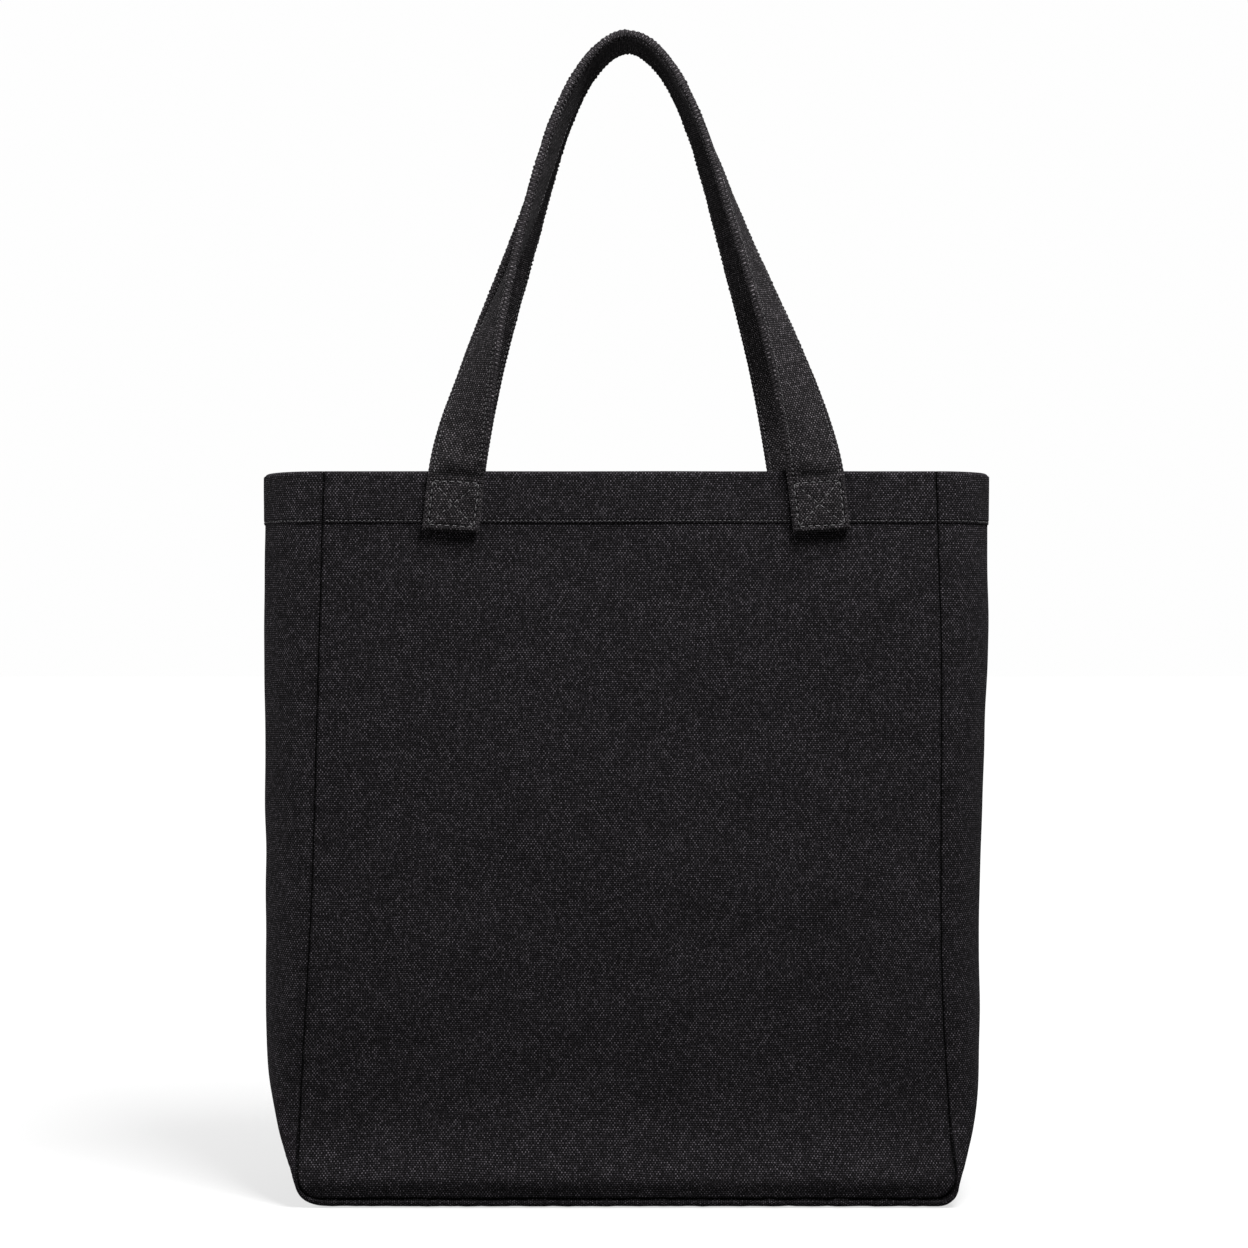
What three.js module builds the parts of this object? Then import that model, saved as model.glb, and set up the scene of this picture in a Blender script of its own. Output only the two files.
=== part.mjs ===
// A plain black canvas tote bag, standing open, with two sewn handles.
// Millimetres, +Z up, +X to the right of the front panel, front towards -Y.
// The origin is on the floor, under the middle of the bag.
import * as THREE from 'three';

// ---- Driving dimensions ------------------------------------------------------

// Cloth
const cloth = 1.2;             // one layer of canvas
const gap = 0.3;               // clearance between two pieces that lie together

// Front and back panels, measured between their side seams
const rimHeight = 411;         // floor to the turned top edge
const panelWidthTop = 344;
const panelWidthBottom = 366;
const cornerRadius = 12;       // the side seam turns into the bottom seam
const seamDrop = 5.5;          // how far the base hangs below the bottom seam

// The strip that makes the two gussets and the base
const gussetWidth = 120;       // cloth between the front and the back seam
const mouthBulge = 36;         // how far a gusset stands out at the rim
const lowBulge = 24;           // the same, just above the bottom corners
const cornerReach = 70;        // height over which the bottom corners fill out
const gussetRound = 2;         // roundness power above the corners: an ellipse
const baseRound = 5;           // roundness power at the base: flat, rolled edges
const baseTurnUp = 36;         // the base strip runs this far up each side

// Hem and inside seam binding
const hemDepth = 30;
const hemLayers = 3;
const hemStitchInset = 2;      // stitch line above the hem's lower edge
const bindingWidth = 7;
const bindingThickness = 3.4;
const bindingInset = 1;        // from the seam to the binding's edge

// Handles
const strapWidth = 32;
const strapLayers = 4;
const handleSpread = 205;      // between the middles of one handle's two ends
const handleTilt = 6 * Math.PI / 180;
const handleAside = 3.2;       // both handles are sewn this far right of the middle
const handleRise = 251;        // rim to the top of the standing handle
const legPull = 47;            // how long a leg keeps the direction of its end
const crownPull = 39;          // how long the crown stays level
const crownTurn = 5 * Math.PI / 180;   // of the two crowns together, seen from above
const crownGap = 3;            // between the two straps where they stand together
const twistLength = 285;       // a leg turns edge-on over this length
const twistPower = 2.9;        // most of the turn is near the rim
const endLength = 31;          // the sewn-down end of a strap
const endInset = 3.5;          // from the rim down to the top of that end

// Thread
const threadWidth = 0.8;
const threadHeight = 0.5;
const stitchInset = 3.2;       // from the edge of a strap to its stitches

// How finely the solids are cut
const gussetSteps = 14;
const sideRows = 12;
const cornerSteps = 4;
const baseSteps = 4;
const strapSteps = 72;

// ---- Sizes that follow -------------------------------------------------------

const strapThickness = strapLayers * cloth;
const hemHeight = rimHeight - hemDepth;
const hemStitchHeight = hemHeight + hemStitchInset;
const stitchStandOff = gap + threadHeight / 2;
const endStandOff = 2 * gap + threadHeight;  // a strap end covers the hem stitches

// ---- Small helpers -----------------------------------------------------------

const lerp = THREE.MathUtils.lerp;
const vector = (x, y, z) => new THREE.Vector3(x, y, z);
const ramp = (value, reach) => THREE.MathUtils.smoothstep(value, 0, reach);

// One closed mesh from its corners and triangles, with the faces turned outwards.
function solid(name, points, triangles, material) {
  let volume = 0;
  for (const [a, b, c] of triangles) {
    volume += points[a].dot(points[b].clone().cross(points[c]));
  }
  const outward = volume > 0 ? triangles : triangles.map(([a, b, c]) => [a, c, b]);
  const geometry = new THREE.BufferGeometry().setFromPoints(points);
  geometry.setIndex(outward.flat());
  geometry.computeVertexNormals();
  const mesh = new THREE.Mesh(geometry, material);
  mesh.name = name;
  return mesh;
}

// A solid through a row of rings that all have the same number of corners.
// An open row is capped; a flat ring that runs out along one side and back along
// the other is capped with a strip of quads between the two sides.
function sweep(name, rings, material, closed = false) {
  const count = rings[0].length;
  const triangles = [];
  const spans = closed ? rings.length : rings.length - 1;
  for (let i = 0; i < spans; i++) {
    const here = i * count;
    const next = ((i + 1) % rings.length) * count;
    for (let j = 0; j < count; j++) {
      const k = (j + 1) % count;
      triangles.push([here + j, next + j, next + k], [here + j, next + k, here + k]);
    }
  }
  if (!closed) {
    const last = (rings.length - 1) * count;
    for (let j = 0; j < count / 2 - 1; j++) {
      const [a, b, c, d] = [j, j + 1, count - 2 - j, count - 1 - j];
      triangles.push([a, b, c], [a, c, d]);
      triangles.push([last + a, last + c, last + b], [last + a, last + d, last + c]);
    }
  }
  return solid(name, rings.flat(), triangles, material);
}

// ---- The shape of the bag ----------------------------------------------------

// Half the width of a panel at a height, with its bottom corners rounded.
function halfPanel(height) {
  const along = (height - seamDrop) / (rimHeight - seamDrop);
  const straight = lerp(panelWidthBottom, panelWidthTop, along) / 2;
  const below = Math.max(0, seamDrop + cornerRadius - height);
  return straight - cornerRadius + Math.sqrt(cornerRadius ** 2 - below ** 2);
}

// One point of the strip's cross-section, which bulges from the front seam to the
// back seam: its depth, and how far out it stands.
function bulgePoint(halfDepth, bulge, power, turn) {
  const across = Math.cos(turn);
  return {
    depth: -halfDepth * Math.sign(across) * Math.abs(across) ** (2 / power),
    out: bulge * Math.max(0, Math.sin(turn)) ** (2 / power),
  };
}

// Half the distance between the panels, so that the strip keeps its cloth width.
function halfDepthFor(bulge, power) {
  const samples = 60;
  let [low, high] = [0, gussetWidth];
  for (let round = 0; round < 40; round++) {
    const middle = (low + high) / 2;
    let length = 0;
    let before = bulgePoint(middle, bulge, power, 0);
    for (let i = 1; i <= samples; i++) {
      const point = bulgePoint(middle, bulge, power, Math.PI * i / samples);
      length += Math.hypot(point.depth - before.depth, point.out - before.out);
      before = point;
    }
    if (length < gussetWidth) low = middle;
    else high = middle;
  }
  return low;
}

// Everything that the bag's cross-section needs at one height of the seam.
function sectionAt(height) {
  const above = height - seamDrop;
  const filled = ramp(above, cornerReach);
  const full = lerp(lowBulge, mouthBulge, height / rimHeight);
  const bulge = lerp(seamDrop, full, filled);
  const power = lerp(baseRound, gussetRound, filled);
  const layers = height < hemHeight ? 1 : hemLayers;
  return { bulge, power, wall: layers * cloth, halfDepth: halfDepthFor(bulge, power) };
}

// Heights of the rows from the bottom seam to the rim. The hem starts on a step.
function rowHeights() {
  const heights = [];
  for (let i = 0; i < cornerSteps; i++) {
    const turn = Math.PI / 2 * i / cornerSteps;
    heights.push(seamDrop + cornerRadius * (1 - Math.cos(turn)));
  }
  const start = seamDrop + cornerRadius;
  const end = hemHeight - gap;
  for (let i = 0; i <= sideRows; i++) heights.push(lerp(start, end, i / sideRows));
  heights.push(hemHeight, rimHeight);
  return heights;
}

// A place on the seam: where it is, and which way is out of the bag there.
function seamPlace(side, height) {
  const below = Math.max(0, seamDrop + cornerRadius - height);
  const turn = Math.asin(below / cornerRadius);
  return {
    x: side * halfPanel(height),
    height,
    outX: side * Math.cos(turn),
    outZ: -Math.sin(turn),
  };
}

// The seam from high on the left, round the base, to high on the right.
function seamRun(heights) {
  const left = heights.map((height) => seamPlace(-1, height)).reverse();
  const right = heights.map((height) => seamPlace(1, height));
  const flat = [];
  for (let i = 1; i < baseSteps; i++) {
    const x = lerp(left.at(-1).x, right[0].x, i / baseSteps);
    flat.push({ x, height: seamDrop, outX: 0, outZ: -1 });
  }
  return [...left, ...flat, ...right];
}

// ---- Panels, gussets and base ------------------------------------------------

function panel(name, face, material) {
  const rings = rowHeights().map((height) => {
    const { halfDepth, wall } = sectionAt(height);
    const half = halfPanel(height) - gap;
    const ring = (y) => [vector(-half, y, height), vector(half, y, height)];
    return [...ring(face * halfDepth), ...ring(face * (halfDepth - wall)).reverse()];
  });
  return sweep(name, rings, material);
}

// A stretch of the strip between the two panels, through the given seam places.
function strip(name, places, material) {
  const rings = places.map(({ x, height, outX, outZ }) => {
    const { bulge, power, wall, halfDepth } = sectionAt(height);
    const side = (inset) => {
      const points = [];
      for (let i = 0; i <= gussetSteps; i++) {
        const turn = Math.PI * i / gussetSteps;
        const { depth, out } = bulgePoint(halfDepth - inset, bulge - inset, power, turn);
        points.push(vector(x + outX * out, depth, height + outZ * out));
      }
      return points;
    };
    return [...side(0), ...side(wall).reverse()];
  });
  return sweep(name, rings, material);
}

function gusset(name, side, material) {
  const start = seamDrop + baseTurnUp + gap;
  const heights = [start, ...rowHeights().filter((height) => height > start + gap)];
  return strip(name, heights.map((height) => seamPlace(side, height)), material);
}

function base(material) {
  const end = seamDrop + baseTurnUp;
  const heights = [...rowHeights().filter((height) => height < end - gap), end];
  return strip('base_panel', seamRun(heights), material);
}

// The bound seam allowance inside the bag, from hem to hem round the base.
function seamBinding(name, face, material) {
  const heights = rowHeights().filter((height) => height < hemHeight - 2 * gap);
  heights.push(hemHeight - 2 * gap);
  const rings = seamRun(heights).map(({ x, height, outX, outZ }) => {
    const corner = (inset, off) => {
      const z = height - outZ * inset;
      const { halfDepth, wall } = sectionAt(z);
      return vector(x - outX * inset, face * (halfDepth - wall - gap - off), z);
    };
    const inner = bindingInset + bindingWidth;
    return [corner(bindingInset, 0), corner(inner, 0),
      corner(inner, bindingThickness), corner(bindingInset, bindingThickness)];
  });
  return sweep(name, rings, material);
}

// One line of stitches round the mouth, just off the outside of the cloth.
function hemStitch(material) {
  const { bulge, power, halfDepth } = sectionAt(hemStitchHeight);
  const line = [];
  for (const side of [1, -1]) {
    const x = halfPanel(hemStitchHeight);
    for (let i = 0; i <= gussetSteps; i++) {
      const turn = Math.PI * i / gussetSteps;
      const { depth, out } = bulgePoint(halfDepth, bulge, power, turn);
      line.push({ x: side * (x + out), y: side * depth, outX: side * Math.sin(turn),
        outY: -side * Math.cos(turn) });
    }
  }
  const rings = line.map(({ x, y, outX, outY }) => {
    const corner = (off, lift) => vector(x + outX * off, y + outY * off,
      hemStitchHeight + lift);
    const [near, far, half] = [gap, gap + threadHeight, threadWidth / 2];
    return [corner(near, -half), corner(far, -half), corner(far, half), corner(near, half)];
  });
  return sweep('hem_stitch', rings, material, true);
}

// ---- Handles -----------------------------------------------------------------

// The sewn-down end of a strap: its middle, and its three directions. Along runs
// up the strap, outward is off the bag, and across runs towards the middle.
function endFrame(face, side) {
  const height = rimHeight - endInset - endLength / 2 * Math.cos(handleTilt);
  const lower = sectionAt(height - endLength / 2).halfDepth;
  const upper = sectionAt(height + endLength / 2).halfDepth;
  const lean = Math.atan2(lower - upper, endLength);
  const outward = vector(0, face * Math.cos(lean), Math.sin(lean));
  const along = vector(-side * Math.sin(handleTilt), 0, Math.cos(handleTilt));
  along.addScaledVector(outward, -along.dot(outward)).normalize();
  const across = vector().crossVectors(along, outward).multiplyScalar(-side * face);
  const middle = vector(side * handleSpread / 2 + handleAside, face * (lower + upper) / 2, height);
  middle.addScaledVector(outward, endStandOff + strapThickness / 2);
  return { middle, along, outward, across };
}

// Puts a mesh that was made flat, X across, Y off the bag, Z along, on an end.
function placeOnEnd(mesh, face, side, offset) {
  const { middle, along, outward } = endFrame(face, side);
  const across = vector().crossVectors(outward, along);
  mesh.setRotationFromMatrix(new THREE.Matrix4().makeBasis(across, outward, along));
  mesh.position.copy(middle).addScaledVector(outward, offset);
  return mesh;
}

function strapEnd(name, face, side, material) {
  const geometry = new THREE.BoxGeometry(strapWidth, strapThickness, endLength);
  const mesh = new THREE.Mesh(geometry, material);
  mesh.name = name;
  return placeOnEnd(mesh, face, side, 0);
}

// A square of stitches with a cross in it, as one flat piece of thread.
function boxStitch(name, face, side, material) {
  const halfWidth = strapWidth / 2 - stitchInset;
  const halfHeight = endLength / 2 - stitchInset;
  const outline = [[-1, -1], [1, -1], [1, 1], [-1, 1]];
  const corners = (x, z) => outline.map(([i, j]) => new THREE.Vector2(i * x, j * z));
  const shape = new THREE.Shape(corners(halfWidth, halfHeight));
  const inner = corners(halfWidth - threadWidth, halfHeight - threadWidth);
  const centre = new THREE.Vector2(0, 0);
  const narrow = 2 * threadWidth / Math.min(halfWidth, halfHeight);
  for (let i = 0; i < inner.length; i++) {
    const triangle = [inner[i], inner[(i + 1) % inner.length], centre];
    const middle = inner[i].clone().add(inner[(i + 1) % inner.length]).divideScalar(3);
    const shrunk = triangle.map((point) => point.clone().lerp(middle, narrow));
    shape.holes.push(new THREE.Path(shrunk));
  }
  const settings = { depth: threadHeight, bevelEnabled: false };
  const geometry = new THREE.ExtrudeGeometry(shape, settings);
  geometry.translate(0, 0, -threadHeight / 2);
  geometry.rotateX(Math.PI / 2);
  const mesh = new THREE.Mesh(geometry, material);
  mesh.name = name;
  return placeOnEnd(mesh, face, side, strapThickness / 2 + stitchStandOff);
}

// The middle line of a standing handle, from its left end up over to its right.
function handlePath(face) {
  const depth = face * (strapWidth + crownGap) / 2;
  const crown = vector(depth * Math.sin(crownTurn), depth * Math.cos(crownTurn),
    rimHeight + handleRise - strapThickness / 2);
  const level = vector(Math.cos(crownTurn), -Math.sin(crownTurn), 0);
  const path = new THREE.CurvePath();
  const half = (side) => {
    const { middle, along } = endFrame(face, side);
    const start = middle.clone().addScaledVector(along, endLength / 2 + 2 * gap);
    const leg = start.clone().addScaledVector(along, legPull);
    const beside = crown.clone().addScaledVector(level, side * crownPull);
    return [start, leg, beside, crown];
  };
  path.add(new THREE.CubicBezierCurve3(...half(-1)));
  path.add(new THREE.CubicBezierCurve3(...half(1).reverse()));
  return path;
}

// Places along a handle, with the directions across and off the outer face. Each
// leg turns a quarter turn, so that the crown lies flat with its edge to the front.
function strapFrames(face) {
  const path = handlePath(face);
  const length = path.getLength();
  const front = endFrame(face, -1).outward;
  const frames = [];
  for (let i = 0; i <= strapSteps; i++) {
    const share = i / strapSteps;
    const point = path.getPointAt(share);
    const along = path.getTangentAt(share).normalize();
    const fromEnd = Math.min(share, 1 - share) * length;
    const turned = 1 - (1 - Math.min(1, fromEnd / twistLength)) ** twistPower;
    const turn = Math.PI / 2 * turned;
    const facing = front.clone().addScaledVector(along, -front.dot(along)).normalize();
    const arch = vector().crossVectors(along, facing).multiplyScalar(face);
    const outward = facing.clone().multiplyScalar(Math.cos(turn))
      .addScaledVector(arch, Math.sin(turn));
    const across = vector().crossVectors(outward, along);
    frames.push({ point, outward, across });
  }
  return frames;
}

function strap(name, face, material) {
  const [half, thin, chamfer] = [strapWidth / 2, strapThickness / 2, cloth];
  const row = [chamfer - half, stitchInset - half, 0, half - stitchInset, half - chamfer];
  const outline = [[-half, chamfer - thin], ...row.map((w) => [w, -thin]),
    [half, chamfer - thin], [half, thin - chamfer],
    ...row.reverse().map((w) => [w, thin]), [-half, thin - chamfer]];
  const rings = strapFrames(face).map(({ point, outward, across }) =>
    outline.map(([w, t]) => point.clone().addScaledVector(across, w).addScaledVector(outward, t)));
  return sweep(name, rings, material);
}

// A line of stitches along one edge of a strap, on its outer face.
function strapStitch(name, face, edge, material) {
  const middle = edge * face * (strapWidth / 2 - stitchInset);
  const [w, t] = [threadWidth / 2, threadHeight / 2];
  const lift = strapThickness / 2 + stitchStandOff;
  const outline = [[-w, -t], [w, -t], [w, t], [-w, t]];
  const rings = strapFrames(face).map(({ point, outward, across }) =>
    outline.map(([x, y]) => point.clone().addScaledVector(across, middle + x)
      .addScaledVector(outward, lift + y)));
  return sweep(name, rings, material);
}

// ---- The whole bag -----------------------------------------------------------

const canvas = new THREE.MeshStandardMaterial({ color: 0x232122, roughness: 0.92, metalness: 0 });
const webbing = new THREE.MeshStandardMaterial({ color: 0x2b292a, roughness: 0.9, metalness: 0 });
const tape = new THREE.MeshStandardMaterial({ color: 0x1c1b1c, roughness: 0.85, metalness: 0 });
const thread = new THREE.MeshStandardMaterial({ color: 0x3a3839, roughness: 0.6, metalness: 0 });

const bag = new THREE.Group();
bag.add(gusset('gusset_left', -1, canvas), gusset('gusset_right', 1, canvas));
bag.add(base(canvas), hemStitch(thread));

for (const [word, face] of [['front', -1], ['back', 1]]) {
  bag.add(panel(`${word}_panel`, face, canvas));
  bag.add(seamBinding(`seam_binding_${word}`, face, tape));
  for (const [hand, side] of [['left', -1], ['right', 1]]) {
    bag.add(strapEnd(`${word}_handle_end_${hand}`, face, side, webbing));
    bag.add(boxStitch(`${word}_box_stitch_${hand}`, face, side, thread));
  }
  bag.add(strap(`${word}_handle_strap`, face, webbing));
  bag.add(strapStitch(`${word}_strap_stitch_inner`, face, 1, thread));
  bag.add(strapStitch(`${word}_strap_stitch_outer`, face, -1, thread));
}

export default bag;
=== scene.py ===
import math

import bpy
import numpy as np
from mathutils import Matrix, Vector


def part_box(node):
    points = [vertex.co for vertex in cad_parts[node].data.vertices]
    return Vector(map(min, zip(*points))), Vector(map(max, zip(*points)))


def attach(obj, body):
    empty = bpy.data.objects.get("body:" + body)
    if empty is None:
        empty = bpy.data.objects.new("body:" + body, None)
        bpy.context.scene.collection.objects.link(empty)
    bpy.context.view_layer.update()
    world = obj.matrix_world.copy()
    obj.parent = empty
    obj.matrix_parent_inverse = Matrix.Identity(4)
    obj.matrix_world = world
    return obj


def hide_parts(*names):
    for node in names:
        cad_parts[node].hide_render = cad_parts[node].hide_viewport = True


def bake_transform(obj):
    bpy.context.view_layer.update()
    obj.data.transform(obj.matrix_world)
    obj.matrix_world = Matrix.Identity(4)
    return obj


bl_info = {
    "name": "Canvas Tote Bag",
    "version": (1, 0, 0),
    "blender": (4, 5, 0),
    "location": "View3D > Sidebar > Tote",
    "description": "Makes a black canvas tote bag with sewn handles, piece by piece",
    "category": "Add Mesh",
}

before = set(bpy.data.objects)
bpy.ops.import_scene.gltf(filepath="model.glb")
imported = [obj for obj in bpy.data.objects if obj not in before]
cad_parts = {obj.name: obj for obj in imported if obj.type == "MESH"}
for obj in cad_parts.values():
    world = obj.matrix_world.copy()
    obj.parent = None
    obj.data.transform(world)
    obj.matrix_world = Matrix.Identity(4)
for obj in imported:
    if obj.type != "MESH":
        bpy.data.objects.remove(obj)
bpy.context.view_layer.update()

MM = 0.001
FACES = {"front": -1, "back": 1}
SIDES = {"left": -1, "right": 1}

# ---- Sizes that come from the frame ------------------------------------------------

PANEL_LOW, PANEL_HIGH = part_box("front_panel")
GUSSET_LOW, GUSSET_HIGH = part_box("gusset_right")
END_LOW, END_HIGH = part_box("front_handle_end_right")
HEM_LOW, HEM_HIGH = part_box("hem_stitch")

CLEARANCE = 0.3 * MM                       # the frame's gap between two pieces
CROSS_GAP = 0.05 * MM                      # between the base's cloth and a gusset's
RIM = PANEL_HIGH.z
SEAM_DROP = PANEL_LOW.z                    # height of the bottom seam
HALF_BOTTOM = PANEL_HIGH.x + CLEARANCE     # half the panel's width, near the bottom
HALF_TOP = GUSSET_LOW.x                    # half the panel's width at the rim
MOUTH_BULGE = GUSSET_HIGH.x - HALF_TOP
CROSS_SEAM = GUSSET_LOW.z                  # where the base strip meets a gusset
HEM_STITCH = (HEM_LOW.z + HEM_HIGH.z) / 2
CROWN_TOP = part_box("front_handle_strap")[1].z
END_HALF = (END_HIGH - END_LOW) / 2
END_MIDDLE = (END_HIGH.z + END_LOW.z) / 2
END_PLACES = [sum(box, Vector()).x / 2 for box in
              (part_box("front_handle_end_left"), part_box("front_handle_end_right"))]

# ---- Settings ----------------------------------------------------------------------


def a_length(name, description, default, low, high):
    """A length setting, given in millimetres."""
    return bpy.props.FloatProperty(name=name, description=description, default=default * MM,
                                   min=low * MM, max=high * MM, unit="LENGTH")


def an_angle(name, description, default, low, high):
    """An angle setting, given in degrees."""
    return bpy.props.FloatProperty(name=name, description=description, subtype="ANGLE",
                                   default=math.radians(default), min=math.radians(low),
                                   max=math.radians(high))


def a_colour(name, description, default):
    """A colour setting."""
    return bpy.props.FloatVectorProperty(name=name, description=description, default=default,
                                         min=0, max=1, size=3, subtype="COLOR")


def a_number(name, description, default, low, high, **kind):
    """A setting of another kind."""
    return bpy.props.FloatProperty(name=name, description=description, default=default,
                                   min=low, max=high, **kind)


class ToteCloth(bpy.types.PropertyGroup):
    """The canvas of the body: how thick it is, how it is woven and how it lies."""

    thickness: a_length("Thickness", "One layer of canvas", 1.2, 0.3, 3)
    gusset_width: a_length("Gusset width", "Cloth between the front and the back seam",
                           120, 40, 250)
    low_bulge: a_length("Low bulge", "How far a gusset stands out above the corners", 24, 0, 60)
    corner_bulge: a_length("Corner bulge", "How far the strip stands out at a bottom corner",
                           2.5, 0, 20)
    corner_radius: a_length("Corner radius", "Of the seam at a bottom corner", 12, 2, 60)
    corner_reach: a_length("Corner reach", "Height over which the corners fill out", 30, 10, 200)
    hem_depth: a_length("Hem depth", "Height of the turned top edge", 30, 5, 80)
    groove: a_length("Seam groove", "How round the cloth turns into a seam", 1.5, 0.2, 4)
    slack: a_length("Slack", "Depth of the soft waves in the panels", 1.0, 0, 6)
    pucker: a_length("Pucker", "Depth of the small gathers beside a seam", 0.32, 0, 2)
    warp_pitch: a_length("Warp pitch", "Between two upright yarns", 0.88, 0.2, 4)
    weft_pitch: a_length("Weft pitch", "Between two level yarns", 1.16, 0.2, 4)
    color: a_colour("Canvas colour", "Dyed cotton of the body", (0.0110, 0.0100, 0.0113))
    strap_color: a_colour("Strap colour", "Dyed cotton of the handles", (0.0150, 0.0137, 0.0147))
    binding_color: a_colour("Binding colour", "Tape on the inside seams", (0.010, 0.0093, 0.0100))


class ToteHandles(bpy.types.PropertyGroup):
    """The two straps: their section and the curve that they stand in."""

    width: a_length("Width", "Of a strap", 32, 10, 80)
    thickness: a_length("Thickness", "Of the folded strap", 4.8, 1, 12)
    end_length: a_length("End length", "Of the part that is sewn down", 31, 10, 80)
    tilt: an_angle("Tilt", "How far the ends lean towards the middle", 6, 0, 36)
    leg_pull: a_length("Leg pull", "How long a leg keeps the direction of its end", 47, 5, 200)
    crown_pull: a_length("Crown pull", "How long the top of the strap stays level", 46, 5, 120)
    crown_turn: an_angle("Crown turn", "Of the two crowns together, seen from above", 5, -30, 30)
    crown_gap: a_length("Crown gap", "Between the two straps where they stand together",
                        3, 0.5, 40)
    twist_length: a_length("Twist length", "Of leg, over which the strap turns edge-on",
                           285, 20, 400)
    twist_power: a_number("Twist power", "Higher puts more of the turn near the rim", 2.9, 1, 6)
    past_turn: an_angle("Past turn", "How far the front handle's left leg turns past edge-on",
                        17, -30, 30)
    open_left: an_angle("Left opening", "How far the back handle's left leg stays short of it",
                        14, -30, 30)
    open_right: an_angle("Right opening", "How far both right legs stay short of edge-on",
                         8, -30, 30)
    crown_drop: a_length("Crown drop", "How far the top of the handles has settled", 2.2, 0, 20)
    crown_step: a_length("Crown step", "How much higher the back handle's top stands",
                         4.5, -20, 20)
    crown_aside: a_length("Crown aside", "Of the top of the handles, to the right", 1.5, -20, 20)
    waist: a_length("Waist", "How far the weight of the straps draws their legs together",
                    5.8, 0, 20)
    end_shear: an_angle("End shear", "How far a sewn-down end is off square", 3, -18, 18)
    fold_length: a_length("Fold length", "Of strap that bends when a handle folds down", 12, 4, 40)


class ToteStitching(bpy.types.PropertyGroup):
    """Every line of thread on the bag."""

    length: a_length("Stitch length", "From hole to hole", 2.6, 1, 8)
    box_length: a_length("Box stitch length", "From hole to hole in the squares and crosses",
                         4.3, 1, 8)
    diameter: a_length("Thread", "Diameter of the thread", 0.62, 0.1, 2)
    inset: a_length("Inset", "From the edge of a strap to its stitches", 3.2, 1, 8)
    sink: a_length("Sink", "How deep the thread pulls into the cloth", 0.45, 0, 2)
    color: a_colour("Thread colour", "Sewing thread", (0.055, 0.052, 0.055))


class ToteStage(bpy.types.PropertyGroup):
    """The floor, the light and the camera."""

    distance: a_length("Distance", "From the camera to the middle of the bag", 1550, 500, 6000)
    height: a_length("Height", "Of the level camera above the floor", 325, 0, 2000)
    azimuth: an_angle("Azimuth", "Of the camera round the bag, which it faces squarely",
                      -3.5, -30, 30)
    shift: a_number("Shift", "Of the picture sideways, to bring the bag to its middle",
                    0.1305, -0.5, 0.5)
    lens: a_number("Lens", "Focal length", 77.5, 20, 200, subtype="DISTANCE_CAMERA")
    sky: a_number("Surround", "Brightness of the white surround", 0.18, 0, 4)
    key: a_number("Key", "Power of the large soft light", 62, 0, 400, unit="POWER")
    fill: a_number("Fill", "Power of the light on the other side", 21, 0, 400, unit="POWER")


# ---- Small helpers -----------------------------------------------------------------


def ease(value):
    """Smooth step from 0 to 1."""
    t = np.clip(value, 0, 1)
    return t * t * (3 - 2 * t)


def mix(a, b, t):
    return a + (b - a) * t


def unit(vectors):
    return vectors / np.linalg.norm(vectors, axis=-1, keepdims=True)


def hump(value, middle, reach):
    """A smooth rise to 1 at a middle value, and down again."""
    return np.exp(-((value - middle) / reach) ** 2)


def rounded(share):
    """A quarter circle: from 0 up to 1, where it is level."""
    return np.sqrt(np.clip(1 - (1 - np.clip(share, 0, 1)) ** 2, 0, 1))


def run_along(line):
    """The distance along a line of points, from its first one."""
    return np.concatenate([[0], np.cumsum(np.linalg.norm(np.diff(line, axis=0), axis=1))])


def read_at(places, run, values):
    """Vectors that are known along a line, read at places on it."""
    return np.stack([np.interp(places, run, column) for column in values.T], -1)


def ripple(points, wavelength, seed, waves=14):
    """A smooth random field of about -1 to 1 over points, the same on every run."""
    rng = np.random.default_rng(seed)
    total = np.zeros(points.shape[:-1])
    for _ in range(waves):
        direction = unit(rng.normal(size=points.shape[-1]))
        scale = wavelength * rng.uniform(0.7, 1.6)
        total += np.sin(points @ direction * (2 * math.pi / scale) + rng.uniform(0, 6.3))
    return total / math.sqrt(waves)


def spread(start, end, step, edge=(), last_edge=()):
    """Places from start to end about a step apart, with closer ones at the two ends."""
    first = [start + e for e in edge]
    final = [end - e for e in reversed(last_edge)]
    low = first[-1] if first else start
    high = final[0] if final else end
    count = max(2, int(round((high - low) / step)) + 1)
    middle = np.linspace(low, high, count)
    if first:
        middle = middle[1:]
    if final:
        middle = middle[:-1]
    return np.array([*first, *middle, *final])


def grid_quads(rows, columns, wrap=False):
    """Faces of a grid of points, row by row. A wrapped grid joins its last row on."""
    count = rows if wrap else rows - 1
    i = np.arange(count)[:, None]
    j = np.arange(columns - 1)[None]
    here, above = i * columns + j, ((i + 1) % rows) * columns + j
    return np.stack([here, here + 1, above + 1, above], -1).reshape(-1, 4)


def tube_faces(rings, sides):
    """Faces round a tube of rings of points."""
    i = np.arange(rings - 1)[:, None] * sides
    j = np.arange(sides)[None]
    k = (j + 1) % sides
    return np.stack([i + j, i + k, i + sides + k, i + sides + j], -1).reshape(-1, 4)


def tube_ends(rings, sides):
    """The two faces that close a tube, turned the same way as the faces round it."""
    last = (rings - 1) * sides
    return [list(range(sides))[::-1], list(range(last, last + sides))]


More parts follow.
